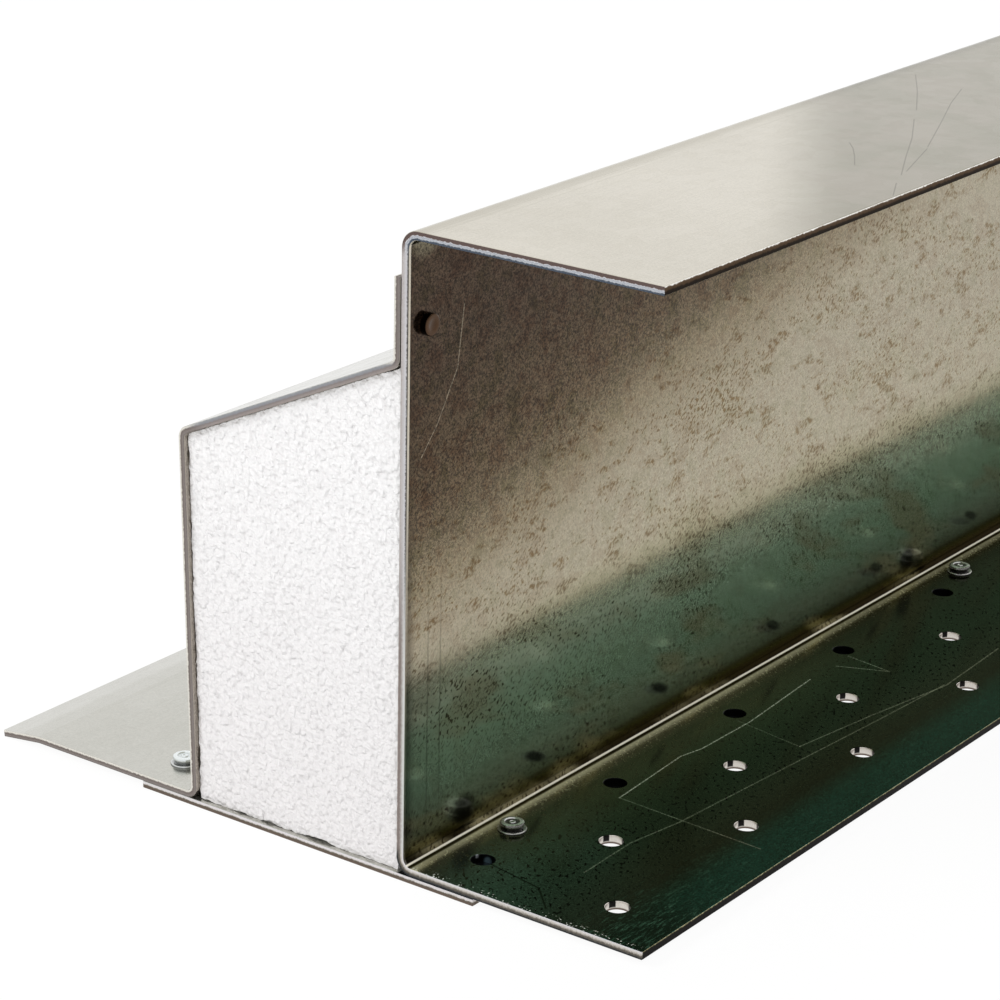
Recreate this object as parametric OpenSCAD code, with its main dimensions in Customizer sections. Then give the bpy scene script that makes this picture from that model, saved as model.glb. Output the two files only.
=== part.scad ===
// Cavity wall lintel, heavy duty, insulated box pattern.
// Length runs along Y and height along Z. The inner leaf is on the +X side
// and the outer leaf on the -X side. The underside of the base plate is at Z 0.

/* [Lintel] */
// Length of the lintel, in steps of the stock range
length = 1200; // [600:150:3000]
// Height of the inner channel over its flanges
height = 215; // [180:5:250]
// Distance from the back of the channel's web to the foot of the front wall
cavity = 88; // [70:1:120]

/* [Inner channel] */
// Sheet gauge of the inner channel
channel_t = 3; // [2:0.1:3.5]
// Inside radius of the channel's bends
channel_r = 3; // [1.5:0.5:5]
// Width of the top flange, from the back of the web
top_flange = 95; // [75:1:120]
// Width of the bottom flange, from the back of the web
bottom_flange = 96; // [80:1:120]

/* [Plaster key holes] */
// Diameter of a key hole
key_d = 8; // [5:0.5:10]
// Pitch of the key holes along a row
key_pitch = 75; // [50:5:100]
// Distance from the near end to the first hole of the first and third rows
key_start = 20; // [15:1:40]
// Distance of the first row from the back of the web
key_row_1 = 20; // [18:0.5:24]
// Distance of the second, staggered row from the back of the web
key_row_2 = 44.5; // [38:0.5:50]
// Distance of the third row from the back of the web
key_row_3 = 73; // [64:0.5:76]
// Least metal between a key hole and the end of the flange
key_edge = 10; // [6:1:14]

/* [Clinch joints] */
// Diameter of a clinch button on the face of the web
clinch_d = 7.4; // [6.5:0.1:8.5]
// Height of a clinch button over the face of the web
clinch_h = 2.6; // [2:0.1:3]
// Metal left in the wall and the floor of each drawn cup
clinch_wall = 0.9; // [0.6:0.1:1.1]
// Clearance between the cup of the pressing and the cup of the web
clinch_fit = 0.05; // [0.02:0.01:0.1]
// Distance of the first and last buttons from the ends
clinch_end = 9; // [8:0.5:20]
// Distance of the buttons below the top of the channel
clinch_drop = 31.5; // [29:0.5:33]
// Most distance between buttons
clinch_pitch = 300; // [150:25:400]

/* [Outer pressing] */
// Sheet gauge of the outer pressing
outer_t = 2.5; // [1.6:0.1:3]
// Inside radius of the pressing's bends
outer_r = 2; // [1:0.5:4]
// Distance of the upstand's top edge below the top of the channel
upstand_drop = 15.5; // [10:0.5:24]
// Distance below the top of the channel where the shoulder meets the upstand
shoulder_drop = 42.5; // [36:0.5:60]
// Fall of the shoulder, in degrees
shoulder_fall = 25; // [15:1:35]
// Lean of the front wall away from the upright, in degrees
front_lean = 1.5; // [0:0.5:3]
// Width of the toe over its drip, from the foot of the front wall
toe = 88; // [70:1:110]
// Width of the drip turned down along the toe's edge
drip_w = 17; // [10:0.5:20]
// Height of the drip's tip above the underside of the base plate
drip_clear = 0.3; // [0.2:0.1:1]
// Gap between the upstand and the web, beside the clinch joints
web_gap = 0.3; // [0.1:0.1:0.6]

/* [Base plate] */
// Sheet gauge of the base plate
plate_t = 2.5; // [1.6:0.1:3]
// Lap of the base plate under the toe, from the foot of the front wall
toe_lap = 22; // [21:0.5:35]
// Lap of the base plate under the bottom flange, from the back of the web
flange_lap = 31; // [26:0.5:40]

/* [Rivets] */
// Diameter of a rivet's shank
rivet_d = 5; // [4:0.5:5]
// Diameter of the foot of a rivet's head
rivet_foot_d = 10; // [8.5:0.5:11]
// Thickness of the foot of a rivet's head
rivet_foot_h = 0.6; // [0.4:0.1:1]
// Diameter of the neck between the foot and the cap
rivet_neck_d = 7; // [6:0.1:7.4]
// Height of the neck
rivet_neck_h = 1.1; // [0.8:0.1:1.2]
// Diameter of the cap on a rivet's head
rivet_cap_d = 8.4; // [8:0.1:8.8]
// Height of a rivet's head over its foot, neck and cap
rivet_head_h = 3; // [2.9:0.1:3.5]
// Chamfer round the top of the cap
rivet_rim = 0.6; // [0.3:0.1:0.8]
// Distance of the ring pressed into the cap from the cap's side
rivet_ring_in = 1.6; // [1.2:0.1:1.8]
// Width of the ring
rivet_ring_w = 0.8; // [0.4:0.1:1]
// Depth of the ring
rivet_ring_h = 0.4; // [0.2:0.1:0.6]
// Diameter of the hollow at the middle of the cap
rivet_hollow_d = 1.6; // [0.8:0.1:1.8]
// Depth of the hollow
rivet_hollow_h = 0.8; // [0.3:0.1:1]
// Diameter of the tail, set flush in the countersunk plate
rivet_tail_d = 7; // [5.5:0.5:7]
// Depth of the tail's countersink
rivet_tail_h = 1; // [0.6:0.1:1.2]
// Clearance round a rivet in its hole
rivet_fit = 0.05; // [0.02:0.01:0.1]
// Distance of the inner rivets from the back of the web
inner_rivet_in = 14; // [12:0.5:17]
// Distance of the outer rivets from the foot of the front wall
outer_rivet_out = 17; // [12:0.5:17]
// Distance from the near end to the first inner rivet
inner_rivet_start = 44; // [40:1:60]
// Distance from the near end to the first outer rivet
outer_rivet_start = 16; // [12:1:60]
// Pitch of the rivets along the lintel
rivet_pitch = 300; // [200:25:400]
// Least distance from a rivet to the end of the lintel
rivet_edge = 12; // [8:1:20]

/* [Insulation] */
// Gap between the insulation and the steel round it
eps_gap = 0.5; // [0.3:0.1:1.5]
// Setback of the insulation's ends from the ends of the steel
eps_setback = 2; // [0:0.5:6]

/* [Hidden] */
$fn = 64;
// Most degrees in one step of a sheet's bend
bend_step = 9;
// How far a cutter runs past the metal that it cuts
over = 1;

// The back of the web, with the whole section centred on X 0
web_x = (cavity + toe - bottom_flange) / 2;
// Y of the near end
near = -length / 2;
// Top of the channel above the floor
top_z = plate_t + height;

// Left face of the upstand
up_x = -web_gap - outer_t;
// Corner of the upstand and the shoulder, on the weather side
shoulder_z = top_z - shoulder_drop;
// Top face of the toe
toe_z = plate_t + outer_t;
// Corner of the shoulder and the front wall, on the weather side
corner_z = (shoulder_z - (cavity + up_x) * tan(shoulder_fall)
            + toe_z * tan(front_lean) * tan(shoulder_fall))
           / (1 + tan(front_lean) * tan(shoulder_fall));
corner_x = -cavity - (corner_z - toe_z) * tan(front_lean);
// Angle that lets the drip's tip down to its clearance
drip_fall = atan((plate_t - drip_clear) / drip_w);

// Y of every item of a row from a start, at a pitch, clear of the far end
function row(start, pitch, edge) =
    [for (y = [start : pitch : length - edge]) near + y];

// ---- Sheet metal ----
// A section follows its path with the sheet on the left of the line of travel.
// Each corner of the path becomes a bend of inside radius r.

function dir(a, b) = (b - a) / norm(b - a);
function left(u) = [-u[1], u[0]];
function turn(u, v) = atan2(cross(u, v), u * v);

// Points round the bend at p, on the path (side 0) or the far face (side t)
function bend(p, u, v, t, r, side) =
    let (a = turn(u, v),
         s = a > 0 ? 1 : -1,
         on_path = a > 0 ? r + t : r,
         reach = a > 0 ? r + t - side : r + side,
         middle = p - u * on_path * tan(abs(a) / 2) + s * left(u) * on_path,
         steps = ceil(abs(a) / bend_step))
    [for (i = [0 : steps])
        let (b = a * i / steps,
             w = -s * left(u))
        middle + reach * [w[0] * cos(b) - w[1] * sin(b),
                          w[0] * sin(b) + w[1] * cos(b)]];

function face(path, t, r, side) =
    let (n = len(path) - 1)
    [path[0] + left(dir(path[0], path[1])) * side,
     for (i = [1 : n - 1])
         each bend(path[i], dir(path[i - 1], path[i]),
                   dir(path[i], path[i + 1]), t, r, side),
     path[n] + left(dir(path[n - 1], path[n])) * side];

module sheet(path, t, r) {
    far = face(path, t, r, t);
    polygon([each face(path, t, r, 0),
             for (i = [len(far) - 1 : -1 : 0]) far[i]]);
}

// Stands a section up along the lintel, set back from both ends
module along(setback = 0) {
    translate([web_x, length / 2 - setback, 0]) rotate([90, 0, 0])
        linear_extrude(length - 2 * setback) children();
}

// ---- Inner channel ----

module channel_section() {
    sheet([[top_flange, top_z], [0, top_z], [0, plate_t],
           [bottom_flange, plate_t]], channel_t, channel_r);
}

module key_row(x, start) {
    for (y = row(start, key_pitch, key_edge + key_d / 2))
        translate([web_x + x, y, plate_t - over])
            cylinder(d = key_d, h = channel_t + 2 * over);
}

module inner_channel() {
    color("#8a8c84") difference() {
        union() {
            along() channel_section();
            at_clinches() button();
        }
        key_row(key_row_1, key_start);
        key_row(key_row_2, key_start + key_pitch / 2);
        key_row(key_row_3, key_start);
        at_clinches() web_cup();
        at_inner_rivets() rivet_bore();
    }
}

// ---- Clinch joints ----
// A punch draws both sheets toward +X, so the upstand's cup locks into the
// web's. Each is drawn here along +Z, from the back of the web at height 0.

module at_clinches() {
    span = length - 2 * clinch_end;
    count = ceil(span / clinch_pitch);
    for (i = [0 : count])
        translate([web_x, near + clinch_end + i * span / count,
                   top_z - clinch_drop])
            rotate([0, 90, 0]) children();
}

module button() {
    rim = clinch_wall / 2;
    root = channel_t / 2;
    face_h = channel_t + clinch_h;
    rotate_extrude()
        polygon([[0, root], [clinch_d / 2, root], [clinch_d / 2, face_h - rim],
                 [clinch_d / 2 - rim, face_h], [0, face_h]]);
}

cup_d = clinch_d - 2 * clinch_wall;
cup_floor = channel_t + clinch_h - clinch_wall;
boss_d = cup_d - 2 * clinch_fit;

module web_cup() {
    translate([0, 0, -over]) cylinder(d = cup_d, h = cup_floor + over);
}

module upstand_boss() {
    root = -web_gap - outer_t / 2;
    translate([0, 0, root]) cylinder(d = boss_d, h = cup_floor - clinch_fit - root);
}

module upstand_cup() {
    mouth = up_x - over;
    translate([0, 0, mouth])
        cylinder(d = boss_d - 2 * clinch_wall,
                 h = cup_floor - clinch_fit - clinch_wall - mouth);
}

// ---- Outer pressing ----

module outer_section() {
    sheet([[up_x, top_z - upstand_drop],
           [up_x, shoulder_z],
           [corner_x, corner_z],
           [-cavity, toe_z],
           [-cavity - toe + drip_w, toe_z],
           [-cavity - toe, toe_z - drip_w * tan(drip_fall)]],
          outer_t, outer_r);
}

module outer_pressing() {
    color("#a9aca4") difference() {
        union() {
            along() outer_section();
            at_clinches() upstand_boss();
        }
        at_clinches() upstand_cup();
        at_outer_rivets() rivet_bore();
    }
}

// ---- Base plate ----

module base_plate() {
    color("#9fa29a") difference() {
        translate([web_x - cavity - toe_lap, near, 0])
            cube([cavity + toe_lap + flange_lap, length, plate_t]);
        at_inner_rivets() rivet_bore();
        at_outer_rivets() rivet_bore();
    }
}

// ---- Insulation ----

// Fills the box between the front wall, the shoulder, the web and the plate
module insulation_section() {
    wall_in = outer_t / cos(front_lean) + eps_gap;
    under = outer_t / cos(shoulder_fall) + eps_gap;
    foot_x = -cavity + (toe_z - plate_t) * tan(front_lean) + wall_in;
    head_x = corner_x + wall_in;
    slope = tan(shoulder_fall);
    polygon([[foot_x, plate_t],
             [-eps_gap, plate_t],
             [-eps_gap, shoulder_z - (up_x + eps_gap) * slope - under - outer_t],
             [head_x, shoulder_z - (up_x - head_x) * slope - under]]);
}

module insulation_block() {
    color("#f4f4f1") along(eps_setback) insulation_section();
}

// ---- Rivets ----

module at_inner_rivets() {
    for (y = row(inner_rivet_start, rivet_pitch, rivet_edge))
        translate([web_x + inner_rivet_in, y, 0])
            children();
}

module at_outer_rivets() {
    for (y = row(outer_rivet_start, rivet_pitch, rivet_edge))
        translate([web_x - cavity - outer_rivet_out, y, 0]) children();
}

// The hole that a rivet fills, countersunk from below
module rivet_bore() {
    d = rivet_d + 2 * rivet_fit;
    tail = rivet_tail_d + 2 * rivet_fit;
    top = plate_t + channel_t + outer_t + over;
    rotate_extrude()
        polygon([[0, -over], [tail / 2, -over], [tail / 2, 0],
                 [d / 2, rivet_tail_h], [d / 2, top], [0, top]]);
}

// A rivet whose head seats on a sheet of gauge t over the base plate
module rivet(t) {
    shank = rivet_d / 2;
    foot = rivet_foot_d / 2;
    neck = rivet_neck_d / 2;
    side = rivet_cap_d / 2;
    ring = side - rivet_ring_in;
    hollow = rivet_hollow_d / 2;
    seat = plate_t + t;
    neck_z = seat + rivet_foot_h;
    cap_z = neck_z + rivet_neck_h;
    top = seat + rivet_head_h;
    rotate_extrude()
        polygon([[0, 0], [rivet_tail_d / 2, 0], [shank, rivet_tail_h],
                 [shank, seat], [foot, seat], [foot, neck_z],
                 [neck, neck_z], [neck, cap_z], [side, cap_z],
                 [side, top - rivet_rim], [side - rivet_rim, top],
                 [ring, top], [ring, top - rivet_ring_h],
                 [ring - rivet_ring_w, top - rivet_ring_h],
                 [ring - rivet_ring_w, top], [hollow, top],
                 [hollow, top - rivet_hollow_h], [0, top - rivet_hollow_h]]);
}

module inner_rivets() {
    color("#c9cdd0") at_inner_rivets() rivet(channel_t);
}

module outer_rivets() {
    color("#c9cdd0") at_outer_rivets() rivet(outer_t);
}

inner_channel();
outer_pressing();
base_plate();
insulation_block();
inner_rivets();
outer_rivets();
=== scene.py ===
import math
from functools import partial

import bmesh
import bpy
from mathutils import Matrix, Vector, noise


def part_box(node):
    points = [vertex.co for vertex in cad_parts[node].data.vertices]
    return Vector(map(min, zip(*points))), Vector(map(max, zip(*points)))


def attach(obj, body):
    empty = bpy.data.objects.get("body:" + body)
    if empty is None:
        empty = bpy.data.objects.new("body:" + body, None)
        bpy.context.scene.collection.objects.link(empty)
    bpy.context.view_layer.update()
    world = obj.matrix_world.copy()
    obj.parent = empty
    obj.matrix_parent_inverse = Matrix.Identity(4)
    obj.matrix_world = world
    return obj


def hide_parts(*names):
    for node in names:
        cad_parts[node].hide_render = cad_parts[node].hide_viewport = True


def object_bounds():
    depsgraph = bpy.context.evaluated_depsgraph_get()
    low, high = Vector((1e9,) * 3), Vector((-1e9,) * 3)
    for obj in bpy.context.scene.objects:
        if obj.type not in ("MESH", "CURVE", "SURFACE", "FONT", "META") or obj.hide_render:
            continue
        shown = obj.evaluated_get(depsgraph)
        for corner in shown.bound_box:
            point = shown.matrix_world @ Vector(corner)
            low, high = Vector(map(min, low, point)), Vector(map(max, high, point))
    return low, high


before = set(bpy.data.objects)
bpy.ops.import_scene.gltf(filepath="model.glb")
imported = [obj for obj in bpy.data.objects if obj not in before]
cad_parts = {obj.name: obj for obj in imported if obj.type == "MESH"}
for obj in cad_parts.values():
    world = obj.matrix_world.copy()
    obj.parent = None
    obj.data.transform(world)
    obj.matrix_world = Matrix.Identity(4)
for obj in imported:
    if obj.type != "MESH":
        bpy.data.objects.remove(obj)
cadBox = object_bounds()
bpy.ops.object.select_all(action="DESELECT")
mm = 0.001
touch = 0.01 * mm  # points this close are taken as one place
low, high = cadBox
nearEnd, farEnd = low.y, high.y
lintelLength = farEnd - nearEnd


def say(text):
    print("lintel:", text)


def hexColour(code):
    # sRGB hex to the linear values that a shader wants
    channels = [int(code[i : i + 2], 16) / 255 for i in (1, 3, 5)]
    linear = [c / 12.92 if c <= 0.04045 else ((c + 0.055) / 1.055) ** 2.4 for c in channels]
    return (*linear, 1.0)


def addNode(tree, kind, inputs=(), stops=(), **settings):
    # a node with its settings, its inputs in order or by name, and a ramp's stops; gives its live output
    node = tree.nodes.new("ShaderNode" + kind)
    for key, value in settings.items():
        setattr(node, key, value)
    for key, value in inputs.items() if isinstance(inputs, dict) else enumerate(inputs):
        if isinstance(value, bpy.types.NodeSocket):
            tree.links.new(value, node.inputs[key])
        else:
            node.inputs[key].default_value = hexColour(value) if isinstance(value, str) else value
    for i, (place, code) in enumerate(stops):
        ramp = node.color_ramp
        spot = ramp.elements[i] if i < 2 else ramp.elements.new(place)
        spot.position = place
        spot.color = hexColour(code) if isinstance(code, str) else (code, code, code, 1)
    return next((out for out in node.outputs if out.enabled), None)


# settings that many nodes share
smooth = {"interpolation_type": "SMOOTHSTEP"}
rgb = {"data_type": "RGBA"}


def newMaterial(name):
    # a material, and the function that adds its nodes
    material = bpy.data.materials.new(name)
    material.use_nodes = True
    material.node_tree.nodes.clear()
    return material, partial(addNode, material.node_tree)


def selectPoints(piece, test):
    # edit mode, with only the points that pass the test selected
    bpy.ops.object.mode_set(mode="EDIT")
    bpy.ops.mesh.select_mode(type="VERT")
    bpy.ops.mesh.select_all(action="DESELECT")
    cage = bmesh.from_edit_mesh(piece.data)
    for point in cage.verts:
        point.select = test(point.co)
    cage.select_flush(True)
    bmesh.update_edit_mesh(piece.data)


def objectMode():
    bpy.ops.object.mode_set(mode="OBJECT")


def faceOutwards():
    # turns every face of the mesh in edit mode outwards, and leaves edit mode
    bpy.ops.mesh.select_all(action="SELECT")
    bpy.ops.mesh.normals_make_consistent(inside=False)
    objectMode()


def drawOut(x, y, z):
    # extrudes what is selected
    bpy.ops.mesh.extrude_region_move(TRANSFORM_OT_translate={"value": (x, y, z)})


def alone(piece):
    bpy.ops.object.select_all(action="DESELECT")
    piece.select_set(True)
    bpy.context.view_layer.objects.active = piece


def settle(piece, name):
    # place goes into the mesh, so the object sits at the origin
    alone(piece)
    bpy.ops.object.transform_apply(location=True, rotation=True, scale=True)
    piece.name = name
    piece.data.name = name


def applyModifier(piece, kind, **settings):
    alone(piece)
    modifier = piece.modifiers.new(kind.title(), kind)
    for key, value in settings.items():
        setattr(modifier, key, value)
    bpy.ops.object.modifier_apply(modifier=modifier.name)


def cutAway(piece, other, operation="DIFFERENCE"):
    applyModifier(piece, "BOOLEAN", operation=operation, object=other, solver="EXACT")
    bpy.data.objects.remove(other)


def joinAll(pieces):
    bpy.ops.object.select_all(action="DESELECT")
    for piece in pieces:
        piece.select_set(True)
    bpy.context.view_layer.objects.active = pieces[0]
    bpy.ops.object.join()
    return bpy.context.object


def copyOf(piece, shift):
    twin = piece.copy()
    twin.data = piece.data.copy()
    twin.data.transform(Matrix.Translation(shift))
    bpy.context.scene.collection.objects.link(twin)
    return twin


def finishPiece(piece, slot, materials, pick, *nodes):
    # pick gives a face's place in the list of materials
    alone(piece)
    bpy.ops.object.shade_smooth_by_angle(angle=math.radians(28))
    applyModifier(piece, "WEIGHTED_NORMAL", keep_sharp=True)
    piece.data.materials.clear()
    for material in materials:
        piece.data.materials.append(material)
    for face in piece.data.polygons:
        face.material_index = pick(piece.data, face) if len(materials) > 1 else 0
    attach(piece, "root")
    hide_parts(*nodes)
    faces = sum(len(face.vertices) - 2 for face in piece.data.polygons)
    say(f"{piece.name}: {faces} triangles")


def turnAt(path, i):
    into = (path[i] - path[i - 1]).normalized()
    out = (path[i + 1] - path[i]).normalized()
    return math.atan2(into.x * out.y - into.y * out.x, into.dot(out))


def foldSheet(name, path, gauge, bendRadius, bendStep=9):
    # a strip folded along a path of corners in X and Z, with its metal on the left of the travel
    start, leg = path[0], path[1] - path[0]
    middle = start + leg / 2
    bpy.ops.mesh.primitive_plane_add(size=1, location=(middle.x, 0, middle.y))
    strip = bpy.context.object
    strip.rotation_euler = (0, -math.atan2(leg.y, leg.x), 0)
    strip.scale = (leg.length, lintelLength, 1)
    settle(strip, name)
    for i in range(1, len(path) - 1):
        corner, step = path[i], path[i + 1] - path[i]
        selectPoints(strip, lambda p: abs(p.x - corner.x) < touch and abs(p.z - corner.y) < touch)
        drawOut(step.x, 0, step.y)
    for i in range(1, len(path) - 1):
        corner, turn = path[i], turnAt(path, i)
        radius = bendRadius + gauge if turn > 0 else bendRadius
        selectPoints(strip, lambda p: abs(p.x - corner.x) < touch and abs(p.z - corner.y) < touch)
        bpy.ops.mesh.bevel(
            offset_type="OFFSET",
            offset=radius * math.tan(abs(turn) / 2),
            segments=max(2, math.ceil(math.degrees(abs(turn)) / bendStep)),
            profile=0.5,
            clamp_overlap=False,
        )
    faceOutwards()
    # the strip is the path's own face, so the metal goes to the left of the travel
    travel = (path[1] - path[0]).normalized()
    leftSide = Vector((-travel.y, 0, travel.x))
    legMiddle = Vector((middle.x, 0, middle.y))
    legFace = min(strip.data.polygons, key=lambda f: (f.center - legMiddle).length)
    side = 1 if legFace.normal.dot(leftSide) > 0 else -1
    applyModifier(strip, "SOLIDIFY", thickness=gauge, offset=side, use_even_offset=True)
    alone(strip)
    bpy.ops.object.mode_set(mode="EDIT")
    faceOutwards()
    return strip


def roundArris(piece, width):
    sharp = math.radians(40)
    applyModifier(piece, "BEVEL", width=width, segments=3, limit_method="ANGLE", angle_limit=sharp)


def pathDistance(point, path):
    best = 1.0
    for a, b in zip(path, path[1:]):
        leg = b - a
        along = max(0, min(1, (point - a).dot(leg) / leg.length_squared))
        best = min(best, (point - a - leg * along).length)
    return best


def bentPath(path, gauge, bendRadius, steps=8):
    # the path with its corners rounded, to measure from
    rounded = [path[0]]
    for i in range(1, len(path) - 1):
        turn = turnAt(path, i)
        radius = bendRadius + gauge if turn > 0 else bendRadius
        into = (path[i] - path[i - 1]).normalized()
        inward = Vector((-into.y, into.x)) * (1 if turn > 0 else -1)
        begin = path[i] - into * radius * math.tan(abs(turn) / 2)
        centre = begin + inward * radius
        for s in range(steps + 1):
            swing = Matrix.Rotation(turn * s / steps, 2)
            rounded.append(centre + swing @ (begin - centre))
    return rounded + [path[-1]]


def writeDepth(piece, path, gauge, bendRadius):
    # 0 on the face that the path follows, 1 on the other, so a cut edge can show its bands
    rounded = bentPath(path, gauge, bendRadius)
    depth = piece.data.attributes.new("depth", "FLOAT", "POINT")
    values = [pathDistance(Vector((v.co.x, v.co.z)), rounded) / gauge for v in piece.data.vertices]
    depth.data.foreach_set("value", values)


def punch(x, y, below, top, radius, rollOver=0.0, segments=48):
    # a round punch along Z whose shoulder rolls the upper rim over
    depth = top - rollOver - below
    bpy.ops.mesh.primitive_cylinder_add(
        vertices=segments, radius=radius, depth=depth, location=(x, y, below + depth / 2)
    )
    tool = bpy.context.object
    settle(tool, "punch")
    if rollOver:
        crown = top - rollOver
        selectPoints(tool, lambda p: p.z > crown - touch)
        # shares of the roll-over's height and width, ring by ring
        for up, spread in ((0.5, 0.12), (0.3, 0.4), (0.2, 1.0)):
            ring = radius + rollOver * spread
            widthNow = max(v.co.x for v in bmesh.from_edit_mesh(tool.data).verts if v.select) - x
            drawOut(0, 0, rollOver * up)
            wider = ring / widthNow
            bpy.ops.transform.resize(value=(wider, wider, 1), center_override=(x, y, 0))
        drawOut(0, 0, 1 * mm)
        objectMode()
    return tool


def ringTurned(name, x, y, profile, segments=48):
    # a turned piece: a disc whose rim is drawn up ring by ring, radius and height from the foot up
    radius, height = profile[0]
    bpy.ops.mesh.primitive_circle_add(
        vertices=segments, radius=radius, fill_type="NGON", location=(x, y, height)
    )
    piece = bpy.context.object
    settle(piece, name)
    bpy.ops.object.mode_set(mode="EDIT")
    bpy.ops.mesh.select_mode(type="FACE")
    bpy.ops.mesh.select_all(action="SELECT")
    for (r0, z0), (r1, z1) in zip(profile, profile[1:]):
        drawOut(0, 0, z1 - z0)
        bpy.ops.transform.resize(value=(r1 / r0, r1 / r0, 1), center_override=(x, y, 0))
    faceOutwards()
    return piece


channel = {
    "gauge": 3.0,
    "bendRadius": 3.0,
    "topFlange": 95.0,
    "bottomFlange": 96.0,
    "arris": 0.3,
    "keyHole": 8.0,
    "keyPitch": 75.0,
    "keyStart": 20.0,
    "keyRows": ((20.0, 0.0), (44.5, 37.5), (73.0, 0.0)),
    "keyPerRow": 16,
    "keyRollOver": 0.45,
    "rivetHole": 5.1,
}
channelLow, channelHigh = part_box("inner_channel")
webBack = channelLow.x
channelTop = channelHigh.z
flangeTop = channelLow.z + channel["gauge"] * mm
webFace = webBack + channel["gauge"] * mm

rivets = {"pitch": 300.0, "foot": 10.0, "count": 4, "tail": 7.1, "sink": 1.0}


def rivetRow(node):
    # middles of the rivets of a node
    rowLow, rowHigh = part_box(node)
    start = rowLow.y + rivets["foot"] * mm / 2
    x = (rowLow.x + rowHigh.x) / 2
    return [(x, start + i * rivets["pitch"] * mm) for i in range(rivets["count"])]


clinch = {
    "endIn": 9.0,
    "drop": 31.5,
    "count": 5,
    # radius and height from the back of the web, for what stands out and what is hollow
    "button": (
        (3.7, 1.5),
        (3.7, 5.05),
        (3.62, 5.32),
        (3.4, 5.52),
        (3.1, 5.6),
        (2.2, 5.58),
        (1.9, 5.45),
        (0.1, 5.42),
    ),
    "webCup": ((3.2, -1.0), (3.2, -0.05), (2.8, 0.45), (2.8, 4.7)),
    "boss": ((2.75, -1.5), (2.75, 4.35), (2.6, 4.65)),
    "cup": ((2.5, -4.0), (2.5, -2.75), (2.1, -2.45), (1.85, -2.1), (1.85, 3.45), (1.6, 3.75)),
}


def clinchRow(shape):
    # the same turned shape at every clinch joint, lying along X, from the back of the web
    profile = [(r * mm, h * mm) for r, h in clinch[shape]]
    first = ringTurned(shape, 0, 0, profile, 32)
    first.rotation_euler = (0, math.pi / 2, 0)
    first.location = (webBack, nearEnd + clinch["endIn"] * mm, channelTop - clinch["drop"] * mm)
    settle(first, shape)
    step = (lintelLength - 2 * clinch["endIn"] * mm) / (clinch["count"] - 1)
    return joinAll([first] + [copyOf(first, (0, i * step, 0)) for i in range(1, clinch["count"])])


def makeChannel():
    path = [
        Vector((webBack + channel["topFlange"] * mm, channelTop)),
        Vector((webBack, channelTop)),
        Vector((webBack, channelLow.z)),
        Vector((webBack + channel["bottomFlange"] * mm, channelLow.z)),
    ]
    gauge, bend = channel["gauge"] * mm, channel["bendRadius"] * mm
    piece = foldSheet("inner_channel_sheet", path, gauge, bend)
    roundArris(piece, channel["arris"] * mm)
    below = channelLow.z - 1 * mm
    punches = []
    for rowX, shift in channel["keyRows"]:
        y = nearEnd + (channel["keyStart"] + shift) * mm
        radius, rollOver = channel["keyHole"] * mm / 2, channel["keyRollOver"] * mm
        first = punch(webBack + rowX * mm, y, below, flangeTop, radius, rollOver)
        punches.append(first)
        for i in range(1, channel["keyPerRow"]):
            punches.append(copyOf(first, (0, i * channel["keyPitch"] * mm, 0)))
    for x, y in rivetRow("inner_rivets"):
        punches.append(punch(x, y, below, flangeTop + 1 * mm, channel["rivetHole"] * mm / 2, 0, 32))
    cutAway(piece, joinAll(punches))
    cutAway(piece, clinchRow("button"), "UNION")
    cutAway(piece, clinchRow("webCup"))
    writeDepth(piece, path, gauge, bend)
    return piece


pressing = {
    "gauge": 2.5,
    "webGap": 0.3,
    "bendRadius": 2.0,
    "shoulderDrop": 27.0,  # from the upstand's top to the shoulder
    "shoulderFall": 25.0,
    "frontLean": 1.5,
    "toe": 88.0,
    "drip": 17.0,
    "arris": 0.25,
    "rivetHole": 5.1,
}
pressLow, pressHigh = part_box("outer_pressing")
plateLow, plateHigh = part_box("base_plate")
toeTop = plateHigh.z + pressing["gauge"] * mm


def pressingPath():
    upX = webBack - (pressing["webGap"] + pressing["gauge"]) * mm
    shoulderZ = pressHigh.z - pressing["shoulderDrop"] * mm
    footX = pressLow.x + pressing["toe"] * mm
    fall = math.tan(math.radians(pressing["shoulderFall"]))
    lean = math.tan(math.radians(pressing["frontLean"]))
    # the leaning wall and the falling shoulder meet at this height
    wall = (shoulderZ - toeTop - (upX - footX) * fall) / (1 + lean * fall)
    dripTip = pressLow.z + pressing["gauge"] * mm
    return [
        Vector((upX, pressHigh.z)),
        Vector((upX, shoulderZ)),
        Vector((footX - wall * lean, toeTop + wall)),
        Vector((footX, toeTop)),
        Vector((pressLow.x + pressing["drip"] * mm, toeTop)),
        Vector((pressLow.x, dripTip)),
    ]


def makePressing():
    path = pressingPath()
    gauge, bend = pressing["gauge"] * mm, pressing["bendRadius"] * mm
    piece = foldSheet("outer_pressing_sheet", path, gauge, bend)
    roundArris(piece, pressing["arris"] * mm)
    radius = pressing["rivetHole"] * mm / 2
    punches = [punch(x, y, 0, toeTop + 1 * mm, radius, 0, 32) for x, y in rivetRow("outer_rivets")]
    cutAway(piece, joinAll(punches))
    cutAway(piece, clinchRow("boss"), "UNION")
    cutAway(piece, clinchRow("cup"))
    writeDepth(piece, path, gauge, bend)
    return piece


plate = {"arris": 0.25, "rivetHole": 5.1}


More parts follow.
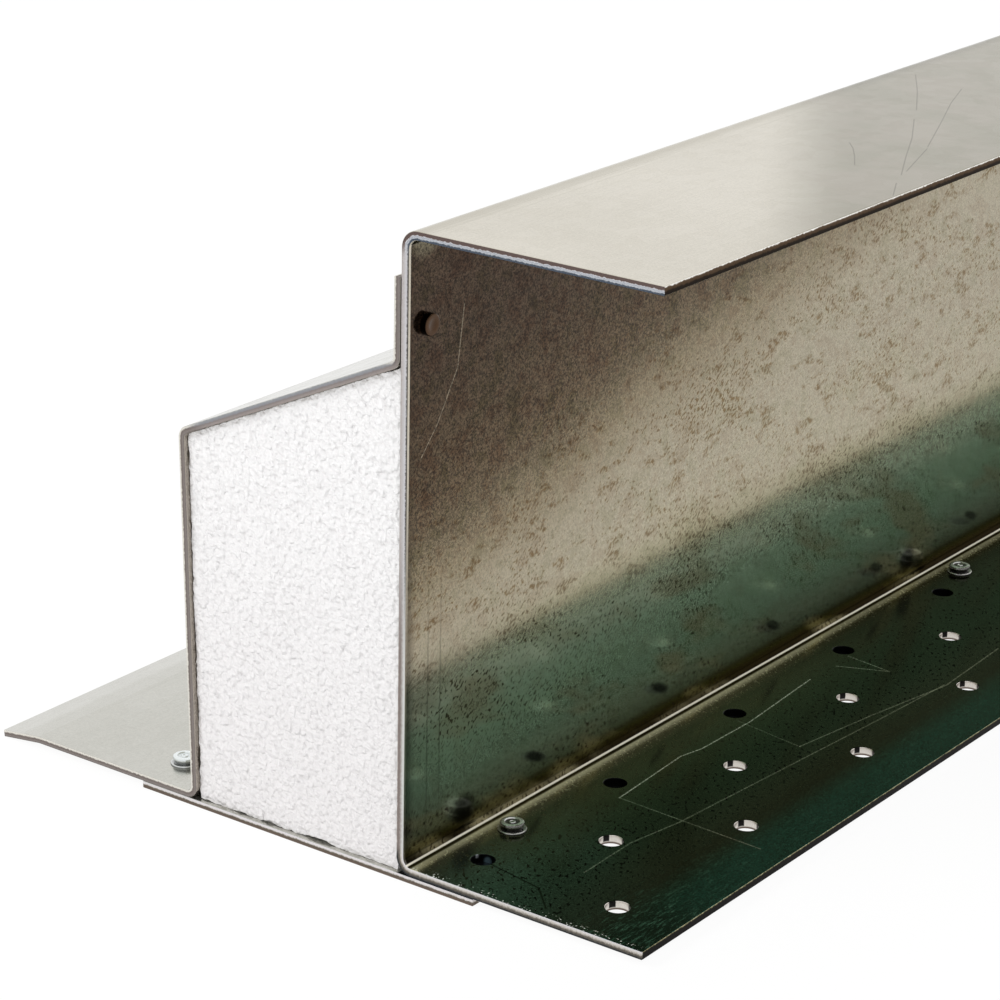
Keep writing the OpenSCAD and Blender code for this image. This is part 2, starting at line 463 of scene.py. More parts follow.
def makePlate():
    size = plateHigh - plateLow
    bpy.ops.mesh.primitive_cube_add(size=1, location=(plateLow + plateHigh) / 2)
    piece = bpy.context.object
    piece.scale = size
    settle(piece, "base_plate_strip")
    roundArris(piece, plate["arris"] * mm)
    sink = rivets["sink"] * mm
    past = 1.2  # the countersink's cone is drawn on past the underside
    tools = []
    for x, y in rivetRow("inner_rivets") + rivetRow("outer_rivets"):
        radius = plate["rivetHole"] * mm / 2
        tool = punch(x, y, plateLow.z + sink, plateHigh.z + 1 * mm, radius, 0, 32)
        selectPoints(tool, lambda p: p.z < plateLow.z + sink + touch)
        drawOut(0, 0, -sink * past)
        wide = 1 + (rivets["tail"] / plate["rivetHole"] - 1) * past
        bpy.ops.transform.resize(value=(wide, wide, 1), center_override=(x, y, 0))
        objectMode()
        tools.append(tool)
    cutAway(piece, joinAll(tools))
    depth = piece.data.attributes.new("depth", "FLOAT", "POINT")
    depth.data.foreach_set("value", [(v.co.z - plateLow.z) / size.z for v in piece.data.vertices])
    return piece


foam = {
    "gap": 0.5,
    "band": 5.0,  # length of the ends that carry the torn beads
    "cuts": 130,
    "edgeFade": 3.5,
    "bulge": 0.35,  # how far the torn beads swell into the gap under the pressing
    "rimDrop": 0.12,
    "bead": 2.6,
    "relief": 0.5,
    "ragged": 0.7,
    "seed": 5,
    "tone": "#fcfbfb",
    # the crease and foot tones are painted shade
    "crease": "#f8f6f6",
    "foot": "#efecec",
}


def foamRelief(p, seed):
    # torn beads: rounded cells with creases between, over a slow waviness
    spot = Vector((p.x, seed, p.z)) / (foam["bead"] * mm)
    crease = noise.voronoi(spot + 0.35 * noise.noise_vector(spot * 1.3))[0][0]
    rough = noise.turbulence(spot * 1.1, 3, False)
    slow = noise.noise(spot * 0.12)
    return foam["relief"] * mm * (0.9 * crease - 0.8 * rough + 0.7 * slow)


def foamEdge(t, seed):
    # how far the torn rim stands back, along the rim
    fine = abs(noise.noise(Vector((t / (1.6 * mm), seed, 0.5))))
    bite = max(0.0, noise.noise(Vector((t / (9 * mm), seed, 7.5))) - 0.28)
    return foam["ragged"] * mm * (0.55 * fine + 3.2 * bite)


def makeFoam():
    blockLow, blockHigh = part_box("insulation_block")
    path = pressingPath()
    lean = math.tan(math.radians(pressing["frontLean"]))
    slope = math.radians(pressing["shoulderFall"])
    under = pressing["gauge"] * mm / math.cos(slope) + foam["gap"] * mm
    headZ = path[1].y - (path[1].x - blockLow.x) * math.tan(slope) - under
    backZ = path[1].y - (path[1].x - blockHigh.x) * math.tan(slope) - under
    bpy.ops.mesh.primitive_cube_add(size=1, location=(blockLow + blockHigh) / 2)
    piece = bpy.context.object
    piece.scale = blockHigh - blockLow
    settle(piece, "polystyrene_block")
    # the head slopes under the shoulder, and the front's foot goes back as the pressing leans
    upper = blockLow.z + 10 * mm
    for test, shift in (
        (lambda p: p.x < 0 and p.z > upper, (0, 0, headZ - blockHigh.z)),
        (lambda p: p.x > 0 and p.z > upper, (0, 0, backZ - blockHigh.z)),
        (lambda p: p.x < 0 and p.z < upper, ((headZ - blockLow.z) * lean, 0, 0)),
    ):
        selectPoints(piece, test)
        bpy.ops.transform.translate(value=shift)
    band = foam["band"] * mm
    for endY, way in ((blockLow.y, -1), (blockHigh.y, 1)):
        selectPoints(piece, lambda p: abs(p.y - endY) < touch)
        bpy.ops.transform.translate(value=(0, -way * band, 0))
        bpy.ops.mesh.select_mode(type="FACE")
        drawOut(0, way * band, 0)
        bpy.ops.mesh.subdivide(number_cuts=foam["cuts"])
    faceOutwards()
    noise.seed_set(foam["seed"])  # without it the beads differ from run to run
    tearEnds(piece, blockLow, blockHigh, headZ, backZ, lean)
    return piece


def tearEnds(piece, blockLow, blockHigh, headZ, backZ, lean):
    topSlope = (backZ - headZ) / (blockHigh.x - blockLow.x)
    fade = foam["edgeFade"] * mm
    for v in piece.data.vertices:
        way = -1 if v.co.y < 0 else 1
        end = blockLow.y if way < 0 else blockHigh.y
        if abs(v.co.y - end) > touch:
            continue
        p = v.co.copy()
        left = p.x - (blockLow.x + (headZ - p.z) * lean)
        right = blockHigh.x - p.x
        foot = p.z - blockLow.z
        head = headZ + (p.x - blockLow.x) * topSlope - p.z
        rim = min(left, right, foot, head)
        v.co.y += way * foamRelief(p, way)
        for gapTo, inward, t, bulge in (
            (left, Vector((1, 0, 0)), p.z, foam["bulge"]),
            (right, Vector((-1, 0, 0)), p.z + 1, 0),
            (foot, Vector((0, 0, 1)), p.x + 2, 0),
            (head, Vector((0, 0, -1)), p.x + 3, foam["bulge"]),
        ):
            share = max(0.0, 1 - gapTo / fade)
            v.co += inward * (foamEdge(t, way) - bulge * mm) * share
        v.co.y -= way * foam["rimDrop"] * mm * max(0.0, 1 - rim / (1.2 * mm)) ** 2


head = {
    # radius and height above the sheet, round the foot, the waist, the cap and its dimple
    "above": (
        (5.0, 0.0),
        (5.0, 0.25),
        (4.92, 0.45),
        (4.7, 0.6),
        (3.75, 0.68),
        (3.5, 0.85),
        (3.45, 1.55),
        (3.7, 1.75),
        (4.1, 1.85),
        (4.18, 2.05),
        (4.16, 2.45),
        (4.02, 2.75),
        (3.7, 2.93),
        (3.2, 3.0),
        (2.6, 2.97),
        (2.45, 2.78),
        (2.3, 2.6),
        (1.35, 2.56),
        (1.2, 2.68),
        (1.05, 2.86),
        (0.7, 2.9),
        (0.5, 2.72),
        (0.1, 2.66),
    ),
    "below": ((3.5, 0.0), (2.5, 1.0)),
    # from the seat to the top of the cap: painted highlights on the foot's rim and the cap, painted shade in
    # the neck and the ring
    "tones": (
        (0.0, "#2c2a28"),
        (0.08, "#4a4845"),
        (0.19, "#ededeb"),
        (0.24, "#3a3836"),
        (0.5, "#1c1a19"),
        (0.63, "#6a6865"),
        (0.78, "#bebdba"),
        (0.83, "#3f3d3b"),
        (0.88, "#6d6b68"),
        (0.93, "#cfcfcd"),
        (1.0, "#f0f0ee"),
    ),
    "outerReflectionTone": "#eef4f4",
    "metal": 0.95,
}


def makeRivets(node, seat, prefix):
    made = []
    below = [(r * mm, plateLow.z + z * mm) for r, z in head["below"]]
    above = [(r * mm, seat + z * mm) for r, z in head["above"]]
    neck = [(below[-1][0], seat)]
    for i, (x, y) in enumerate(rivetRow(node)):
        made.append(ringTurned(f"{prefix}_{i + 1}", x, y, below + neck + above))
    return made


cameraSet = {
    "place": (0.6328, -1.3558, 0.4851),
    "lens": 119.16,
    "turn": 36.25,
    "down": 20.24,
    "roll": 1.15,
}


def makeCamera():
    lensData = bpy.data.cameras.new("camera")
    lensData.lens = cameraSet["lens"]
    lensData.clip_end = 50
    camera = bpy.data.objects.new("camera", lensData)
    bpy.context.scene.collection.objects.link(camera)
    turn = Matrix.Rotation(math.radians(cameraSet["turn"]), 4, "Z")
    tilt = Matrix.Rotation(math.radians(90 - cameraSet["down"]), 4, "X")
    roll = Matrix.Rotation(math.radians(cameraSet["roll"]), 4, "Z")
    camera.matrix_world = Matrix.Translation(cameraSet["place"]) @ turn @ tilt @ roll
    bpy.context.scene.camera = camera


studio = {
    "skyColour": "#ffffff",
    "skyStrength": 0.64,
    "floorWhite": 0.9,
    "floorGlow": 1.02,
    "floorSize": 14.0,
    # name, place, target, size, watts
    "lamps": (
        ("keyLamp", (-1.5, -2.6, 2.3), (0, -0.3, 0.1), 1.6, 38),
        ("fillLamp", (2.4, -1.4, 2.4), (0, -0.2, 0.1), 1.8, 17),
        ("backLamp", (-0.6, 2.2, 2.6), (0, 0.2, 0.1), 1.8, 19),
    ),
}


def makeLamps():
    for name, place, target, size, watts in studio["lamps"]:
        lampData = bpy.data.lights.new(name, "AREA")
        lampData.shape = "SQUARE"
        lampData.size = size
        lampData.energy = watts
        lamp = bpy.data.objects.new(name, lampData)
        lamp.visible_glossy = False
        bpy.context.scene.collection.objects.link(lamp)
        aim = Vector(target) - Vector(place)
        lamp.matrix_world = Matrix.Translation(place) @ aim.to_track_quat("-Z", "Y").to_matrix().to_4x4()


def whiteRays(add):
    # 1 for the rays that show the white surroundings, straight, in metal or through a hole
    rays = add("LightPath").node.outputs
    shown = add("Math", (rays["Is Camera Ray"], rays["Is Glossy Ray"]), operation="MAXIMUM")
    return add("Math", (shown, rays["Is Transmission Ray"]), operation="MAXIMUM")


def makeSky():
    sky = bpy.data.worlds.new("studioSky")
    sky.use_nodes = True
    sky.node_tree.nodes.clear()
    add = partial(addNode, sky.node_tree)
    white = add("Background", {"Color": "#ffffff", "Strength": 1.0})
    soft = add("Background", {"Color": studio["skyColour"], "Strength": studio["skyStrength"]})
    both = add("MixShader", (whiteRays(add), soft, white))
    add("OutputWorld", {"Surface": both})
    bpy.context.scene.world = sky


def makeFloor():
    bpy.ops.mesh.primitive_plane_add(size=studio["floorSize"], location=(0, 0, low.z - 0.05 * mm))
    floor = bpy.context.object
    settle(floor, "studio_floor")
    material, add = newMaterial("white paper sweep")
    paper = add("BsdfDiffuse", {"Color": "#ffffff"})
    glow = add("Emission", {"Color": "#ffffff", "Strength": studio["floorGlow"]})
    share = add("Math", (whiteRays(add), studio["floorWhite"]), operation="MULTIPLY")
    both = add("MixShader", (share, paper, glow))
    add("OutputMaterial", {"Surface": both})
    floor.data.materials.append(material)


def onLevel(line, level):
    # a flat line's points, at a height
    return [(x, y, level) for x, y in line]


def placeOf(add):
    # the place on the lintel in millimetres, whole and as x, y and z
    place = add("TexCoord").node.outputs["Object"]
    whole = add("VectorMath", {0: place, "Scale": 1 / mm}, operation="SCALE")
    parts = add("SeparateXYZ", (whole,)).node.outputs
    return whole, parts["X"], parts["Y"], parts["Z"]


def within(add, value, start, end, soft):
    # 1 between two values, fading over a soft border outside them
    up = add("MapRange", (value, start - soft, start), **smooth)
    down = add("MapRange", (value, end, end + soft, 1.0, 0.0), **smooth)
    return add("Math", (up, down), operation="MULTIPLY")


def shaded(add, tone, amount):
    # a tone made darker or lighter by a plain amount
    grey = add("CombineColor", (amount, amount, amount))
    return add("Mix", {0: 1.0, 6: tone, 7: grey}, **rgb, blend_type="MULTIPLY")


def layOn(add, tone, *layers):
    # colours laid over a tone one after the other, each with its share and how it is laid
    for share, colour, *how in layers:
        tone = add("Mix", {0: share, 6: tone, 7: colour}, **rgb, blend_type=how[0] if how else "MIX")
    return tone


def scratchLines(add, place, lines, width):
    # 1 along listed lines of points in mm, 0 a width away
    nearest = None
    for line in lines:
        for a, b in zip(line, line[1:]):
            start, leg = Vector(a), Vector(b) - Vector(a)
            fromStart = add("VectorMath", (place, start), operation="SUBTRACT")
            share = add("VectorMath", (fromStart, leg / leg.length_squared), operation="DOT_PRODUCT")
            held = add("Clamp", (share,))
            foot = add("VectorMath", {0: leg, "Scale": held}, operation="SCALE")
            gap = add("VectorMath", (fromStart, foot), operation="DISTANCE")
            nearest = gap if nearest is None else add("Math", (nearest, gap), operation="MINIMUM")
    return add("MapRange", (nearest, width, width * 0.3), **smooth)


def strokes(add, place, axis, lean, length, size):
    # a noise of short marks of a size in mm, that lie at a lean in the plane square to an axis
    turned, long = [0.0, 0.0, 0.0], [length, length, length]
    turned[axis] = math.radians(lean)
    long[2 if axis == 0 else 1] = 1.0
    laid = add("Mapping", {"Vector": place, "Rotation": turned, "Scale": long}, vector_type="TEXTURE")
    return add("TexNoise", {"Vector": laid, "Scale": 1 / size, "Detail": 1.0, "Roughness": 0.5})


def shadeSurface(add, colour, metal, rough, height=None, bumpDepth=0.0, tint=None, gloss=0.5):
    links = {"Base Color": colour, "Metallic": metal, "Roughness": rough, "Specular IOR Level": gloss}
    if tint:
        links["Specular Tint"] = tint
    if height:
        links["Normal"] = add("Bump", {"Height": height, "Distance": bumpDepth * mm, "Strength": 1.0})
    add("OutputMaterial", {"Surface": add("BsdfPrincipled", links)})


web = {
    # from the bend's foot to the underside of the top flange
    "span": (5.5, 214.5),
    # the near black at the foot is a painted shadow above the bend; the greens up to about 60 mm are painted
    # over the real reflection of the dark flange, and the pale stop at 0.26 paints the edge of that
    # reflection
    "tones": (
        (0.0, "#0c0803"),
        (0.009, "#1a1407"),
        (0.0144, "#221d0e"),
        (0.0215, "#212413"),
        (0.031, "#343828"),
        (0.041, "#5c6854"),
        (0.069, "#809079"),
        (0.117, "#93b193"),
        (0.16, "#9dbd9b"),
        (0.213, "#abc8a8"),
        (0.26, "#c6d3b5"),
        (0.31, "#b7b092"),
        (0.36, "#b1a993"),
        (0.55, "#aaa28e"),
        (1.0, "#aea692"),
    ),
    "stain": "#9c9472",
    "olive": "#b0b490",
    # from 60 mm below the rim of the dark patch to 60 mm above it; the dark patch is a painted reflection of
    # dark surroundings
    "patch": (
        (0.0, "#aaa28e"),
        (0.2, "#a69d88"),
        (0.37, "#8d816a"),
        (0.5, "#6c604c"),
        (0.6, "#5e503e"),
        (0.75, "#524535"),
        (1.0, "#46392d"),
    ),
    "patchSpan": 60.0,
    "patchFoot": 110.0,  # height of the dark patch at the near end
    "patchClimb": 0.27,
    "speck": "#b2986a",
    "lowSpeck": "#5c4a2a",
    "mottle": "#c2a692",
    "grain": 0.16,
    "patchGrain": 0.68,
    "metal": 0.88,
    "haze": 0.15,
    "rough": 0.13,
    "nicks": (((43, -572, 188), (43, -575, 168), (43, -585, 152), (43, -593, 143)),),
    "nickTone": "#b8ae98",
    "dustyCorner": (43, -592, 214),
    "dust": "#8f8a72",
    "rubMarks": (-588.5, -582.0),
    "rubAndGlowTone": "#3c3a2c",
    "spot": (-528.8, 18.9),
    "holeReflectionTone": "#10150f",
    "rivetReflections": ((43, -568, 14), (43, -280, 15)),
    "rivetReflectionTone": "#14140c",
    "buttonFaceReflection": "#4d3a2b",
    "buttonSideReflection": "#0c0a08",
    "burrHighlight": "#e4dccb",
    "bendHighlight": "#f4eedc",
    "bendDarkReflection": "#3a3618",
    "footTint": "#cfc4a4",
}


def webSteel():
    # galvanised steel, hot-dipped and rolled: the zinc mirrors softly, with fine grain and storage specks;
    # its tones also carry painted shade, highlights and reflections
    material, add = newMaterial("galvanised steel web")
    place, x, y, z = placeOf(add)
    drawn = add("Attribute", attribute_name="depth").node.outputs["Fac"]
    # tones by height, with the painted shadow above the bend and the painted reflection low down
    upWeb = add("MapRange", (z, *web["span"]))
    tone = add("ValToRGB", (upWeb,), web["tones"])
    # drifts of storage stain fall away from the near end
    laid = {"Vector": place, "Rotation": (math.radians(-18), 0, 0), "Scale": (1, 3.2, 1)}
    laid = add("Mapping", laid, vector_type="TEXTURE")
    drifts = add("TexNoise", {"Vector": laid, "Scale": 1 / 16, "Detail": 2.0, "Roughness": 0.55})
    gathered = add("MapRange", (drifts, 0.5, 0.68), **smooth)
    lowDown = add("MapRange", (z, 84, 60, 0.2, 0.55), **smooth)
    stain = add("Math", (gathered, lowDown), operation="MULTIPLY")
    # the dark patch, a painted reflection of dark surroundings, climbs away from the near end and fades
    # downwards
    climb = (y, web["patchClimb"], 600 * web["patchClimb"] + web["patchFoot"])
    rim = add("Math", climb, operation="MULTIPLY_ADD")
    wander = add("TexNoise", {"Vector": place, "Scale": 1 / 70, "Detail": 2.0})
    wander = add("Math", (wander, 20.0, -10.0), operation="MULTIPLY_ADD")
    above = add("Math", (z, rim), operation="SUBTRACT")
    above = add("Math", (above, wander), operation="ADD")
    intoPatch = add("MapRange", (above, -web["patchSpan"], web["patchSpan"]))
    patch = add("ValToRGB", (intoPatch,), web["patch"])
    patched = add("MapRange", (above, -70, -30), **smooth)
    # mottled by 9 mm between brown and olive
    mottle = add("TexNoise", {"Vector": place, "Scale": 1 / 9, "Detail": 4.0, "Roughness": 0.75})
    mottleDepth = add("MapRange", (above, -30, 20, 0.22, 0.65), **smooth)
    red = add("MapRange", (mottle, 0.48, 0.62), **smooth)
    red = add("Math", (red, mottleDepth), operation="MULTIPLY")
    green = add("MapRange", (mottle, 0.5, 0.36), **smooth)
    green = add("Math", (green, mottleDepth), operation="MULTIPLY")
    tone = layOn(
        add,
        tone,
        (stain, web["stain"]),
        (patched, patch),
        (red, web["mottle"], "MULTIPLY"),
        (green, web["olive"], "MULTIPLY"),
    )
    # the peppery grain of the zinc is a little coarser than the real half millimetre, so that it shows
    grain = add("TexNoise", {"Vector": place, "Scale": 1.5, "Detail": 2.5, "Roughness": 0.8})
    grainDepth = add("MapRange", (above, -30, 20, web["grain"], web["patchGrain"]), **smooth)
    plainer = add("MapRange", (z, 60, 95, 0.6, 1.0), **smooth)
    grainDepth = add("Math", (grainDepth, plainer), operation="MULTIPLY")
    grainTone = add("MapRange", (grain, 0.36, 0.64, -1.0, 1.0), **smooth)
    grainTone = add("Math", (grainTone, grainDepth, 1.0), operation="MULTIPLY_ADD")
    tone = shaded(add, tone, grainTone)
    # specks of 0.85 by 2 mm lean forward, and gather in the drifts
    marks = strokes(add, place, 0, 43, 2.2, 0.85)
    lowSpecks = add("MapRange", (z, 88, 58), **smooth)
    speck = layOn(add, web["speck"], (lowSpecks, web["lowSpeck"]))
    thick = add("Math", (drifts, 0.42, marks), operation="MULTIPLY_ADD")
    thick = add("MapRange", (thick, 0.815, 0.92), **smooth)
    fewer = add("MapRange", (z, 50, 90, 0.45, 1.0), **smooth)
    specks = add("Math", (thick, fewer), operation="MULTIPLY")
    # single ones low down
    flecks = add("MapRange", (marks, 0.575, 0.635), **smooth)
    inDrifts = add("MapRange", (drifts, 0.4, 0.58, 0.45, 1.0), **smooth)
    flecks = add("Math", (flecks, inDrifts), operation="MULTIPLY")
    lowDown = add("MapRange", (z, 95, 65), **smooth)
    flecks = add("Math", (flecks, lowDown), operation="MULTIPLY")
    specks = add("Math", (specks, flecks), operation="MAXIMUM")
    # and clumps of a centimetre higher up
    clump = {"Vector": place, "Rotation": (math.radians(12), 0, 0), "Scale": (1, 0.5, 1.1)}
    clump = {"Vector": add("Mapping", clump), "Scale": 1 / 7, "Detail": 3.0, "Roughness": 0.65}
    clump = add("MapRange", (add("TexNoise", clump), 0.54, 0.64), **smooth)
    broken = add("MapRange", (marks, 0.42, 0.58, 0.1, 0.95), **smooth)
    clump = add("Math", (clump, broken), operation="MULTIPLY")
    highUp = add("MapRange", (z, 45, 85, 0.15, 1.0), **smooth)
    clump = add("Math", (clump, highUp), operation="MULTIPLY")
    specks = add("Math", (specks, clump), operation="MAXIMUM")
    inPatch = add("MapRange", (above, -10, 20, 0.9, 0.6), **smooth)
    specks = add("Math", (specks, inPatch), operation="MULTIPLY")
    # nicks, and dust in the upper corner
    nicks = scratchLines(add, place, web["nicks"], 0.28)
    broken = add("MapRange", (grain, 0.35, 0.6, 0.12, 0.5), **smooth)
    nicks = add("Math", (nicks, broken), operation="MULTIPLY")
    corner = add("VectorMath", (place, web["dustyCorner"]), operation="DISTANCE")
    dust = add("MapRange", (corner, 9, 3), **smooth)
    broken = add("MapRange", (grain, 0.35, 0.6, 0.1, 0.6), **smooth)
    dust = add("Math", (dust, broken), operation="MULTIPLY")
    tone = layOn(
        add, tone, (specks, speck, "MULTIPLY"), (nicks, web["nickTone"]), (dust, web["dust"])
    )
    # rub marks beside the end
    for markY in web["rubMarks"]:
        mark = within(add, y, markY, markY + 0.2, 0.5)
        lowDown = add("MapRange", (z, 125, 60, 0.0, 0.35), **smooth)
        mark = add("Math", (mark, lowDown), operation="MULTIPLY")
        tone = layOn(add, tone, (mark, web["rubAndGlowTone"]))
    # a painted dark reflection of each hole of the first row, beside it on the web
    spotY, spotZ = web["spot"]
    along = add("Math", (y, spotY), operation="SUBTRACT")
    along = add("Math", (along, channel["keyPitch"] / 2, -channel["keyPitch"] / 2), operation="WRAP")
    up = add("Math", (z, spotZ), operation="SUBTRACT")
    up = add("Math", (along, 0.39, up), operation="MULTIPLY_ADD")
    along = add("Math", (along, 5.4), operation="DIVIDE")
    up = add("Math", (up, 2.0), operation="DIVIDE")
    spot = add("CombineXYZ", (along, up))
    spot = add("VectorMath", (spot,), operation="LENGTH").node.outputs["Value"]
    spot = add("MapRange", (spot, 1.35, 0.5, 0.0, 0.8), **smooth)
    tone = layOn(add, tone, (spot, web["holeReflectionTone"]))
    # painted dark reflections of the rivets in the web
    for rivetReflection in web["rivetReflections"]:
        gap = add("VectorMath", (place, rivetReflection), operation="DISTANCE")
        spot = add("MapRange", (gap, 7.5, 3.0, 0.0, 0.85), **smooth)
        tone = layOn(add, tone, (spot, web["rivetReflectionTone"]))
    # the clinch button: a painted dark reflection on its drawn side and a painted brown reflection on its
    # face
    standsOut = add("MapRange", (x, 45.2, 45.5), **smooth)
    button = layOn(add, web["buttonSideReflection"], (standsOut, web["buttonFaceReflection"]))
    drawn = add("MapRange", (drawn, 1.02, 1.12), **smooth)
    tone = layOn(add, tone, (drawn, button))
    # painted shade: darker over the last few centimetres, and again over the last few millimetres
    shade = add("MapRange", (y, -600, -572, 0.72, 1.0), **smooth)
    share = add("MapRange", (z, 80, 55), **smooth)
    tone = layOn(add, tone, (share, shaded(add, tone, shade)))
    shade = add("MapRange", (y, -599, -594.5, 0.45, 1.0), **smooth)
    share = add("MapRange", (z, 170, 50, 0.2, 1.0), **smooth)
    tone = layOn(add, tone, (share, shaded(add, tone, shade)))
    # a painted highlight on the burr along the end, and in the bend a painted highlight line, a painted dark
    # reflection line beside it and the flange's painted glow towards the flange
    burr = within(add, y, -599.8, -599.3, 0.3)
    highUp = add("MapRange", (z, 70, 160, 0.12, 1.0), **smooth)
    burr = add("Math", (burr, highUp), operation="MULTIPLY")
    burrShare = add("Math", (burr, 0.9), operation="MULTIPLY")
    bend = add("Math", (x, z), operation="SUBTRACT")
    bend = add("Math", (bend, 1 / 6, -34.5 / 6), operation="MULTIPLY_ADD")
    glowStrip = add("MapRange", (bend, 0.88, 1.08), **smooth)
    bendDarkLine = within(add, bend, 0.8, 0.86, 0.07)
    bright = within(add, bend, 0.58, 0.69, 0.06)
    tone = layOn(add, tone, (burrShare, web["burrHighlight"]))
    foot = layOn(add, tone, (bendDarkLine, web["bendDarkReflection"]))
    foot = add("Mix", {0: glowStrip, 6: foot, 7: flange["bendGlow"]}, **rgb)
    tone = layOn(add, foot, (bright, web["bendHighlight"]))
    # chalky zinc low down, the burr's painted highlight and the bend's painted highlight and glow scatter
    # more than they mirror
    burr = add("Math", (burr, 0.8), operation="MULTIPLY")
    glowStrip = add("Math", (glowStrip, 0.65), operation="MULTIPLY")
    dull = add("Math", (bright, burr), operation="MAXIMUM")
    dull = add("Math", (dull, glowStrip), operation="MAXIMUM")
    chalk = add("MapRange", (z, 82, 60, web["metal"], web["metal"] - web["haze"]), **smooth)
    metal = add("Math", (1.0, dull), operation="SUBTRACT")
    metal = add("Math", (metal, chalk), operation="MULTIPLY")
    rough = add("MapRange", (grain, 0.3, 0.7, web["rough"] - 0.03, web["rough"] + 0.03), **smooth)
    atFoot = add("MapRange", (z, 16, 10), **smooth)
    edgeTint = layOn(add, "#ffffff", (atFoot, web["footTint"]))
    shadeSurface(add, tone, metal, rough, grain, 0.001, edgeTint, 0.1)
    return material


flange = {
    # the near, far, outer and corner tones paint the reflection of dark surroundings, changing with place
    "near": "#43524f",
    "nearEdge": "#1f2b26",
    "far": "#1d2117",
    "farther": "#14180f",
    "outer": "#16413b",
    "corner": "#0a2721",
    "dash": "#050603",
    "dust": "#5f9a8e",
    "edgeTint": "#d4dad3",
    "rough": 0.13,
    "bendGlow": "#ccc9a4",
    "glowOlive": "#a8ab7e",
    # how much shows of the painted glow beside the bend, from the bend outwards
    "glowStripSpan": (46.0, 96.0),
    "glowStrip": (
        (0.0, 0.97),
        (0.04, 0.87),
        (0.06, 0.54),
        (0.08, 0.23),
        (0.1, 0.14),
        (0.18, 0.085),
        (0.5, 0.04),
        (0.9, 0.0),
    ),
    # scratches along points in x and y, with the strength of each
    "level": 5.5,
    "scratch": "#c4c8b8",
    "pale": (
        (((68, -514), (65.5, -473), (67.7, -463), (68.4, -433), (65, -387)), 1.0),
        (((126, -517), (68, -514)), 0.32),
        (((91, -567), (90.4, -540), (94.3, -517), (103.4, -400), (106, -360)), 0.3),
        (((93.4, -440), (99.4, -400), (106.7, -360), (104.7, -317)), 0.35),
        (((93.4, -440), (64.5, -435)), 0.22),
        (((66, -370), (84, -362), (64.5, -359)), 0.5),
    ),
    "dark": ((96, -595), (86, -585), (63, -581)),
    "nick": "#d8dcd4",
}


